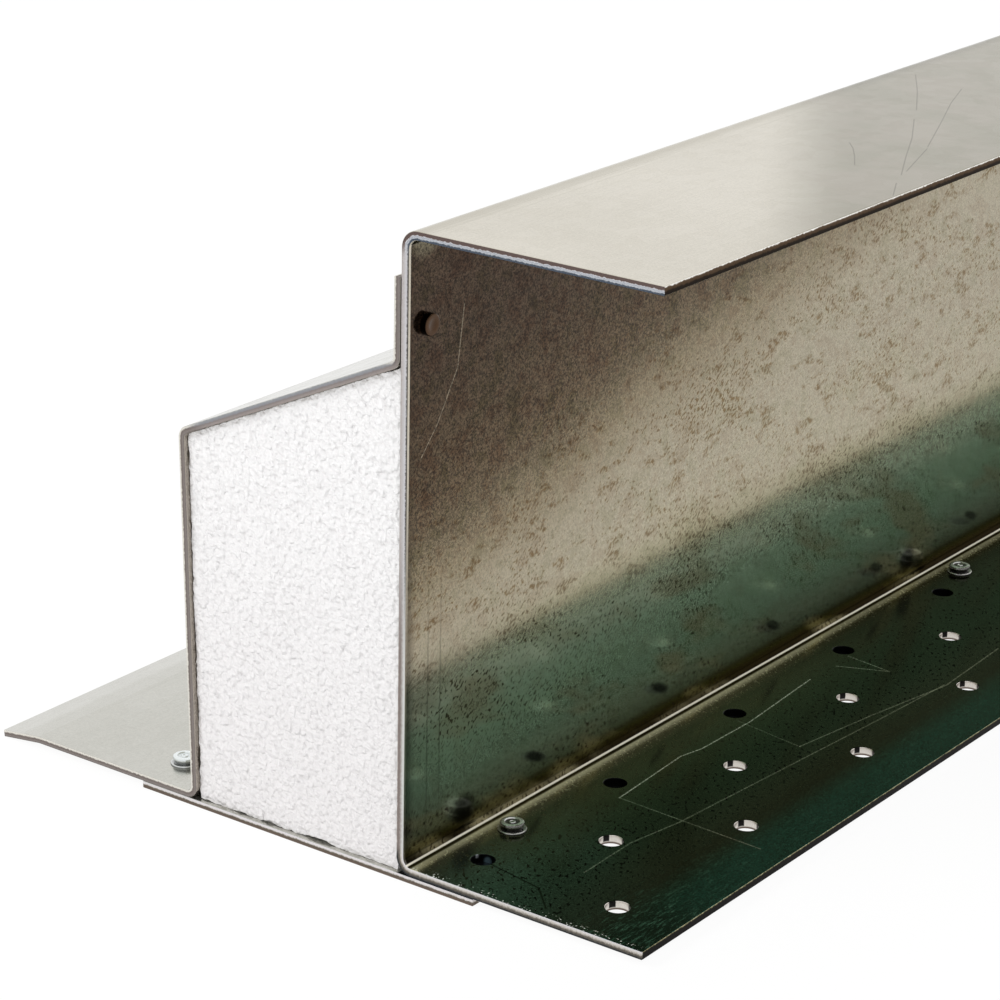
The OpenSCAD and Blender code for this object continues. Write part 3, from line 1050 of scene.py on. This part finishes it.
def flangeSteel():
    # galvanised steel painted dark and greenish, a painted reflection of dark surroundings; it mirrors only
    # at a low angle
    material, add = newMaterial("galvanised steel flange with painted dark reflection")
    place, x, y, z = placeOf(add)
    # the painted dark reflection changes from the near end onwards, further along and towards the outer edge
    cloud = add("TexNoise", {"Vector": place, "Scale": 1 / 30, "Detail": 2.0})
    along = add("Math", (cloud, 90.0, y), operation="MULTIPLY_ADD")
    edgeward = add("MapRange", (x, 68, 108), **smooth)
    onwards = add("MapRange", (along, -570, -470), **smooth)
    farther = add("MapRange", (y, -430, -350, 0.0, 0.6), **smooth)
    offCorner = add("MapRange", (y, -585, -555), **smooth)
    outer = add("MapRange", (x, 112, 126), **smooth)
    near = layOn(add, flange["near"], (edgeward, flange["nearEdge"]))
    outerReflectionTone = layOn(add, flange["corner"], (offCorner, flange["outer"]))
    tone = layOn(
        add, near, (onwards, flange["far"]), (farther, flange["farther"]), (outer, outerReflectionTone)
    )
    grain = add("TexNoise", {"Vector": place, "Scale": 1.5, "Detail": 1.0, "Roughness": 0.7})
    tone = shaded(add, tone, add("MapRange", (grain, 0.3, 0.7, 0.45, 1.55), **smooth))
    # short dark dashes of about a millimetre, fewer in the outer strip
    marks = strokes(add, place, 2, -54, 1.7, 1.15)
    dash = add("MapRange", (marks, 0.615, 0.665), **smooth)
    inner = add("MapRange", (x, 118, 96, 0.15, 1.0), **smooth)
    dash = add("Math", (dash, inner), operation="MULTIPLY")
    # fine dust drawn out along the outer edge
    dust = add("Mapping", {"Vector": place, "Scale": (1.3, 0.2, 1)})
    dust = add("TexNoise", {"Vector": dust, "Scale": 1.0, "Detail": 2.0, "Roughness": 0.8})
    dust = add("MapRange", (dust, 0.52, 0.7), **smooth)
    outer = add("MapRange", (x, 104, 128, 0.0, 0.55), **smooth)
    dust = add("Math", (dust, outer), operation="MULTIPLY")
    nearer = add("MapRange", (along, -470, -530, 0.25, 1.0), **smooth)
    dust = add("Math", (dust, nearer), operation="MULTIPLY")
    # the strip beside the bend is painted pale: a painted reflection of the bright bend
    glowStrip = add("Math", (grain, 2.0, x), operation="MULTIPLY_ADD")
    glowStrip = add("MapRange", (glowStrip, *flange["glowStripSpan"]))
    bendGlow = add("RGBToBW", (add("ValToRGB", (glowStrip,), flange["glowStrip"]),))
    for fade in ((-600, -555, 0.6, 1.0), (-420, -300, 1.0, 0.6)):
        bendGlow = add("Math", (bendGlow, add("MapRange", (y, *fade), **smooth)), operation="MULTIPLY")
    offBend = add("MapRange", (x, 49, 56), **smooth)
    rubAndGlowTone = layOn(add, flange["bendGlow"], (offBend, flange["glowOlive"]))
    glowShare = add("MapRange", (bendGlow, 0.0, 0.25), **smooth)
    tone = layOn(
        add, tone, (dash, flange["dash"]), (dust, flange["dust"]), (glowShare, rubAndGlowTone)
    )
    dull = bendGlow
    broken = add("MapRange", (grain, 0.35, 0.6, 0.3, 1.0), **smooth)
    for line, strength in flange["pale"]:
        scratch = scratchLines(add, place, [onLevel(line, flange["level"])], 0.4)
        scratch = add("Math", (scratch, broken), operation="MULTIPLY")
        scratch = add("Math", (scratch, strength), operation="MULTIPLY")
        tone = layOn(add, tone, (scratch, flange["scratch"]))
        scratch = add("Math", (scratch, 0.8), operation="MULTIPLY")
        dull = add("Math", (dull, scratch), operation="MAXIMUM")
    # bright nicks along the cut end
    nick = add("TexNoise", {"Vector": place, "Scale": 1.5, "Detail": 0.0})
    nick = add("MapRange", (nick, 0.7, 0.74), **smooth)
    atEnd = add("MapRange", (y, -596.5, -598.5), **smooth)
    nick = add("Math", (nick, atEnd), operation="MULTIPLY")
    dull = add("Math", (dull, nick), operation="MAXIMUM")
    dark = scratchLines(add, place, [onLevel(flange["dark"], flange["level"])], 0.5)
    tone = layOn(add, tone, (nick, flange["nick"]), (dark, flange["dash"]))
    metal = add("Math", (1.0, dull), operation="SUBTRACT")
    rough = (grain, 0.3, 0.7, flange["rough"] - 0.04, flange["rough"] + 0.04)
    rough = (dash, 0.4, add("MapRange", rough, **smooth))
    rough = add("Math", rough, operation="MULTIPLY_ADD")
    shadeSurface(add, tone, metal, rough, grain, 0.0015, flange["edgeTint"])
    return material


coat = {
    "tone": "#cbcac3",
    "shade": "#b4b3a9",
    "dripHighlight": "#ffffff",
    "gapShade": "#aaa298",
    "rough": 0.16,
    "metal": 0.94,
}


def coatTone(add, place, x, tone, shade):
    # faint spangle of about 6 mm, soft clouds, and roller lines along the length
    spangle = add("TexVoronoi", {"Vector": place, "Scale": 1 / 6}).node.outputs["Color"]
    spangle = add("RGBToBW", (spangle,))
    cloud = add("TexNoise", {"Vector": place, "Scale": 1 / 60, "Detail": 3.0})
    cloud = add("Math", (spangle, 0.14, cloud), operation="MULTIPLY_ADD")
    cloud = add("MapRange", (cloud, 0.3, 0.9, 0.0, 0.4), **smooth)
    rolled = add("Mapping", {"Vector": place, "Scale": (1, 0.004, 1)})
    lines = add("TexNoise", {"Vector": rolled, "Scale": 1.6, "Detail": 2.0, "Roughness": 0.7})
    rolled = add("MapRange", (lines, 0.5, 0.62), **smooth)
    byWeb = add("Math", (within(add, x, 40, 51, 5), 0.6, 0.15), operation="MULTIPLY_ADD")
    rolled = add("Math", (rolled, byWeb), operation="MULTIPLY")
    tint = layOn(add, tone, (cloud, shade), (rolled, shade))
    fine = add("TexNoise", {"Vector": place, "Scale": 1.3, "Detail": 2.0, "Roughness": 0.7})
    tint = shaded(add, tint, add("MapRange", (fine, 0.3, 0.7, 0.95, 1.05), **smooth))
    tint = layOn(add, tint, (within(add, x, 40, 47, 5), shade))
    rough = add("MapRange", (spangle, 0.2, 0.8, coat["rough"], coat["rough"] + 0.06), **smooth)
    return tint, rough, lines


def outerSteel():
    # galvanised steel, skin-passed: pale zinc with a soft even sheen
    material, add = newMaterial("galvanised steel")
    place, x, y, z = placeOf(add)
    tint, rough, lines = coatTone(add, place, x, coat["tone"], coat["shade"])
    # a painted highlight along the drip's outer edge
    dripHighlight = add("MapRange", (x, -125, -129, 0.0, 0.12), **smooth)
    # the inner face is painted darker where the block stands back from the end: painted shade in the gap
    depth = add("Attribute", attribute_name="depth").node.outputs["Fac"]
    inside = add("MapRange", (depth, 0.5, 0.95), **smooth)
    atEnd = add("MapRange", (y, -596.5, -598.5), **smooth)
    endGapShade = add("Math", (inside, atEnd), operation="MULTIPLY")
    offFront = add("MapRange", (x, -55, -50), **smooth)
    endGapShade = add("Math", (endGapShade, offFront), operation="MULTIPLY")
    tint = layOn(add, tint, (dripHighlight, coat["dripHighlight"]), (endGapShade, coat["gapShade"]))
    shadeSurface(add, tint, coat["metal"], rough, lines, 0.001)
    return material


top = {
    "tone": "#d5cfc1",
    "shade": "#bdb7a7",
    "farTone": "#938f7d",
    "cloud": "#a69d90",
    "farEdge": "#6f6b5c",
    "metal": 0.96,
    # dark scuffs along points in x and y
    "level": 217.5,
    "scuff": "#5f5a45",
    "scuffs": (
        ((54, -317), (68, -340), (82, -365)),
        ((88, -377), (101, -401), (112, -424), (123, -446)),
        ((127, -456), (134, -470)),
        ((78, -326), (86, -348), (97, -374), (111, -408)),
        ((112, -410), (122, -441)),
        ((88, -420), (93, -426), (99, -435), (105, -445)),
    ),
}


def topSteel():
    # galvanised steel, skin-passed and handled: pale zinc, with a painted darker reflection beyond a slanting
    # line, and dark scuffs
    material, add = newMaterial("galvanised steel top flange")
    place, x, y, z = placeOf(add)
    tint, rough, lines = coatTone(add, place, x, top["tone"], top["shade"])
    # beyond a slanting line the tone is a painted darker reflection
    slant = add("Math", (x, 1.7, y), operation="MULTIPLY_ADD")
    beyond = add("MapRange", (slant, -330, -265), **smooth)
    halfBeyond = add("MapRange", (slant, -330, -265, 0.0, 0.5), **smooth)
    # grey-green and pinkish clouds of a few centimetres lie in the painted reflection
    cloud = add("TexNoise", {"Vector": place, "Scale": 1 / 28, "Detail": 3.0, "Roughness": 0.6})
    cloud = add("MapRange", (cloud, 0.38, 0.64), **smooth)
    thinner = add("MapRange", (y, -200, 100, 1.0, 0.35), **smooth)
    thinner = add("Math", (halfBeyond, thinner), operation="MULTIPLY")
    cloud = add("Math", (cloud, thinner), operation="MULTIPLY")
    # darker still near the bend in that part: painted reflection
    farEdge = add("MapRange", (x, 52, 44), **smooth)
    farEdge = add("Math", (halfBeyond, farEdge), operation="MULTIPLY")
    scuffs = [onLevel(line, top["level"]) for line in top["scuffs"]]
    scuff = add("Math", (scratchLines(add, place, scuffs, 0.32), 0.7), operation="MULTIPLY")
    tint = layOn(
        add,
        tint,
        (beyond, top["farTone"]),
        (cloud, top["cloud"]),
        (farEdge, top["farEdge"]),
        (scuff, top["scuff"]),
    )
    shadeSurface(add, tint, top["metal"], rough, lines, 0.0005)
    return material


cut = {
    # tones from the outer face (0) to the inner face (1) of the folded sheet
    "top": (
        (0.0, "#5a4a46"),
        (0.4, "#5e4c46"),
        (0.47, "#d6d6da"),
        (0.55, "#9a9fa8"),
        (0.66, "#c0c4ca"),
        (0.78, "#3c4654"),
        (1.0, "#4a5563"),
    ),
    "lowWeb": (
        (0.0, "#cdc6c2"),
        (0.14, "#857a74"),
        (0.36, "#7c716b"),
        (0.55, "#a8a19d"),
        (0.75, "#cccdca"),
        (1.0, "#d2d2ce"),
    ),
    "web": (
        (0.0, "#a89f9c"),
        (0.2, "#b8b2b0"),
        (0.45, "#c2bebf"),
        (0.7, "#cdcccf"),
        (0.78, "#8c8a8a"),
        (0.88, "#45423f"),
        (1.0, "#2a2824"),
    ),
    # the near black on the outer side, by the plate, is painted shade
    "foot": (
        (0.0, "#060c10"),
        (0.18, "#0d161b"),
        (0.3, "#4c4840"),
        (0.46, "#665e54"),
        (0.58, "#a8a39a"),
        (0.7, "#cec8c1"),
        (1.0, "#e0e0e4"),
    ),
    # the white at the outer face is a painted highlight on the upper arris
    "lip": (
        (0.0, "#ffffff"),
        (0.13, "#f6f2ea"),
        (0.2, "#5d4a38"),
        (0.5, "#4b3a2a"),
        (0.62, "#241a10"),
        (1.0, "#120c07"),
    ),
    # near black up to a painted highlight on the upper arris
    "toeLine": ((0.0, "#0a0908"), (0.82, "#14120d"), (0.93, "#a39a72"), (1.0, "#c9c3a4")),
    "pressing": (
        (0.0, "#e4e0d6"),
        (0.24, "#dcd8cf"),
        (0.38, "#6b605a"),
        (0.75, "#857c78"),
        (1.0, "#66605c"),
    ),
    "shoulder": (
        (0.0, "#c4c4c2"),
        (0.12, "#94969a"),
        (0.4, "#8c8c90"),
        (0.52, "#857c7a"),
        (0.75, "#968d89"),
        (1.0, "#9a918c"),
    ),
    "plate": (
        (0.0, "#776b62"),
        (0.12, "#645549"),
        (0.48, "#5d5044"),
        (0.58, "#a29f94"),
        (0.66, "#e0dad9"),
        (0.92, "#dcd8db"),
        (1.0, "#aabfb9"),
    ),
    "metal": 0.35,
    "rough": 0.5,
}


def cutSteel(name, *bands, places=(), gloss=0.5):
    # guillotined steel: a burnished band and a torn one, with a ragged line between them
    material, add = newMaterial(name)
    place, x, y, z = placeOf(add)
    depth = add("Attribute", attribute_name="depth").node.outputs["Fac"]
    tear = add("TexNoise", {"Vector": place, "Scale": 0.9, "Detail": 3.0, "Roughness": 0.75})
    torn = add("Math", (tear, 0.5, -0.25), operation="MULTIPLY_ADD")
    torn = add("Math", (depth, torn), operation="ADD")
    tone = add("ValToRGB", (torn,), cut[bands[0]])
    for band, (start, end) in zip(bands[1:], places):
        share = add("MapRange", (z, start, end), **smooth)
        tone = layOn(add, tone, (share, add("ValToRGB", (torn,), cut[band])))
    shadeSurface(add, tone, cut["metal"], cut["rough"], tear, 0.03, None, gloss)
    return material


def endEdge():
    # from the foot to the top flange, each tone starts between two heights
    places = ((8, 13), (70, 130), (208, 214))
    return cutSteel("guillotined channel end", "foot", "lowWeb", "web", "top", places=places)


def longEdge():
    return cutSteel("slit channel edge", "toeLine", "lip", places=((20, 30),), gloss=0.02)


def pressingEdge():
    places = ((134, 138), (172, 176))
    return cutSteel("guillotined pressing end", "pressing", "shoulder", "pressing", places=places)


hole = {
    "wall": "#e2dcd4",
    "brown": "#503a2c",
    "shadow": "#0f0d0b",
    "blindShade": "#0b0c0e",
    # place, radius, strength and colour
    "glints": (((59.2, -576.1, 3.2), 1.9, 0.8, "#8fb0bf"), ((56.4, -578.4, 4.8), 0.9, 0.9, "#dfe6ea")),
    "shadowSide": (-0.81, -0.59, 0),
    "darkReflectionSide": (0.863, -0.507, 0),
}


def plateSteel():
    # galvanised steel, skin-passed, painted dark under the channel's flange: painted shade in the gap
    material, add = newMaterial("galvanised steel plate")
    place, x, y, z = placeOf(add)
    tint, rough, lines = coatTone(add, place, x, coat["tone"], coat["shade"])
    under = add("MapRange", (x, 39.5, 41), **smooth)
    upper = add("MapRange", (z, 1.9, 2.3), **smooth)
    gapShade = add("Math", (under, upper), operation="MULTIPLY")
    tint = layOn(add, tint, (gapShade, hole["blindShade"]))
    metal = add("MapRange", (gapShade, 0.0, 1.0, coat["metal"], 0.0), **smooth)
    shadeSurface(add, tint, metal, rough, lines, 0.002, None, 0.1)
    return material


def plateEdge():
    return cutSteel("guillotined plate end", "plate")


def holeWall():
    # punched steel: a burnished wall, with a painted shadow on one side and a painted dark reflection on
    # another
    material, add = newMaterial("punched steel")
    place, x, y, z = placeOf(add)
    streak = add("Mapping", {"Vector": place, "Scale": (1, 1, 0.1)})
    streak = add("TexNoise", {"Vector": streak, "Scale": 1.2, "Detail": 2.0})
    facing = add("TexCoord").node.outputs["Normal"]
    facing = add("VectorMath", (facing, (1, 1, 0)), operation="MULTIPLY")
    facing = add("VectorMath", (facing,), operation="NORMALIZE")
    across = add("VectorMath", (facing, hole["shadowSide"]), operation="DOT_PRODUCT")
    across = add("MapRange", (across, 0.82, 0.96), **smooth)
    lowDown = add("MapRange", (z, 3.4, 2.9, 0.0, 0.9), **smooth)
    darkReflection = add("VectorMath", (facing, hole["darkReflectionSide"]), operation="DOT_PRODUCT")
    darkReflection = add("Math", (streak, 0.03, darkReflection), operation="MULTIPLY_ADD")
    darkReflection = add("MapRange", (darkReflection, 0.968, 0.986), **smooth)
    highUp = add("MapRange", (z, 3.1, 3.6), **smooth)
    darkReflection = add("Math", (darkReflection, highUp), operation="MULTIPLY")
    # the row over the base plate is blind and painted dark as shade, with painted glints on the first
    blindShade = add("MapRange", (x, 68, 66), **smooth)
    tone = layOn(
        add,
        hole["wall"],
        (lowDown, hole["brown"]),
        (across, hole["shadow"]),
        (darkReflection, hole["shadow"]),
        (blindShade, hole["blindShade"]),
    )
    for glint, reach, share, light in hole["glints"]:
        gap = add("VectorMath", (place, glint), operation="DISTANCE")
        share = add("MapRange", (gap, reach, reach * 0.3, 0.0, share), **smooth)
        tone = layOn(add, tone, (share, light))
    shadeSurface(add, tone, 0.8, 0.3, streak, 0.01)
    return material


def foamBeads():
    # expanded polystyrene, hot-wire cut: white fused beads of about 2 mm, matte, with creases between them
    material, add = newMaterial("expanded polystyrene")
    place, x, y, z = placeOf(add)
    warp = add("TexNoise", {"Vector": place, "Scale": 1 / 3, "Detail": 1.0}).node.outputs["Color"]
    warped = add("VectorMath", (warp, (2.2, 2.2, 2.2), place), operation="MULTIPLY_ADD")
    bead = add("TexVoronoi", {"Vector": warped, "Scale": 1 / 2.0}).node.outputs["Distance"]
    bead = add("Math", (bead, bead), operation="MULTIPLY")
    fine = add("TexNoise", {"Vector": place, "Scale": 1 / 1.6, "Detail": 1.0, "Roughness": 0.4})
    # slightly darker in the creases and towards the foot: painted shade
    raised = add("MapRange", (fine, 0.3, 0.5), **smooth)
    lowDown = add("MapRange", (z, 150, 0, 0.0, 0.75), **smooth)
    tone = layOn(add, foam["crease"], (raised, foam["tone"]), (lowDown, foam["foot"]))
    height = add("Math", (bead, -0.55, fine), operation="MULTIPLY_ADD")
    rough = add("MapRange", (fine, 0.2, 0.8, 0.82, 0.95), **smooth)
    shadeSurface(add, tone, 0.0, rough, height, 1.15)
    return material


def zincPlate(name, seat):
    # zinc-plated steel, cold-headed: painted highlights on the cap and the foot's rim, painted shade in the
    # neck and the ring
    material, add = newMaterial(name)
    place, x, y, z = placeOf(add)
    height = add("Math", (z, seat / mm), operation="SUBTRACT")
    tone = add("ValToRGB", (add("MapRange", (height, 0, 3)),), head["tones"])
    cloud = add("TexNoise", {"Vector": place, "Scale": 1 / 1.5, "Detail": 3.0, "Roughness": 0.6})
    tone = shaded(add, tone, add("MapRange", (cloud, 0.35, 0.65, 0.75, 1.0), **smooth))
    # the outer row is painted brighter: a painted reflection of brighter surroundings
    outer = add("MapRange", (x, -30, -50), **smooth)
    cap = add("MapRange", (height, 1.6, 2.2, 0.25, 0.8), **smooth)
    bright = add("Math", (outer, cap), operation="MULTIPLY")
    tone = layOn(add, tone, (bright, head["outerReflectionTone"]))
    rough = add("MapRange", (cloud, 0.3, 0.7, 0.16, 0.28), **smooth)
    shadeSurface(add, tone, head["metal"], rough, cloud, 0.01)
    return material


def depthOf(mesh, face):
    depth = mesh.attributes["depth"].data
    return sum(depth[v].value for v in face.vertices) / len(face.vertices)


def isCut(depth):
    # between the two faces of the sheet, so on a cut edge
    return 0.05 < depth < 0.95


def pickChannelFace(mesh, face):
    # 0 web, 1 bottom flange, 2 top flange, 3 other outer faces, 4 ends, 5 long edges, 6 holes
    depth, centre = depthOf(mesh, face), face.center
    onFlange = centre.x > webFace + channel["bendRadius"] * mm + touch
    onTop = centre.z > (channelLow.z + channelTop) / 2
    if isCut(depth):
        if min(centre.y - nearEnd, farEnd - centre.y) < 1 * mm:
            return 4
        if centre.x > webBack + (channel["topFlange"] - 1) * mm:
            return 5
        return 6 if onFlange else 3
    if depth < 0.5:
        return 2 if centre.z > channelTop - channel["gauge"] * mm else 3
    if onFlange:
        return 3 if onTop else 1
    return 0


def pickSheetFace(mesh, face):
    # 0 coated faces, 1 cut ends
    return 1 if isCut(depthOf(mesh, face)) else 0


bpy.context.scene.view_settings.view_transform = "Standard"
makeCamera()
makeSky()
makeFloor()
makeLamps()
say("set ready")

channelParts = [webSteel(), flangeSteel(), topSteel(), outerSteel(), endEdge(), longEdge(), holeWall()]
finishPiece(makeChannel(), "channel_steel", channelParts, pickChannelFace, "inner_channel")
finishPiece(makePressing(), "pressing_steel", [outerSteel(), pressingEdge()], pickSheetFace, "outer_pressing")
finishPiece(makePlate(), "plate_steel", [plateSteel(), plateEdge()], pickSheetFace, "base_plate")
finishPiece(makeFoam(), "polystyrene", [foamBeads()], None, "insulation_block")
for name, seat in (("inner_rivet", flangeTop), ("outer_rivet", toeTop)):
    zinc = zincPlate(f"zinc-plated {name}".replace("_", " "), seat)
    for piece in makeRivets(name + "s", seat, name):
        finishPiece(piece, "rivet_steel", [zinc], None, name + "s")

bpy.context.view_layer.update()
say("size written")
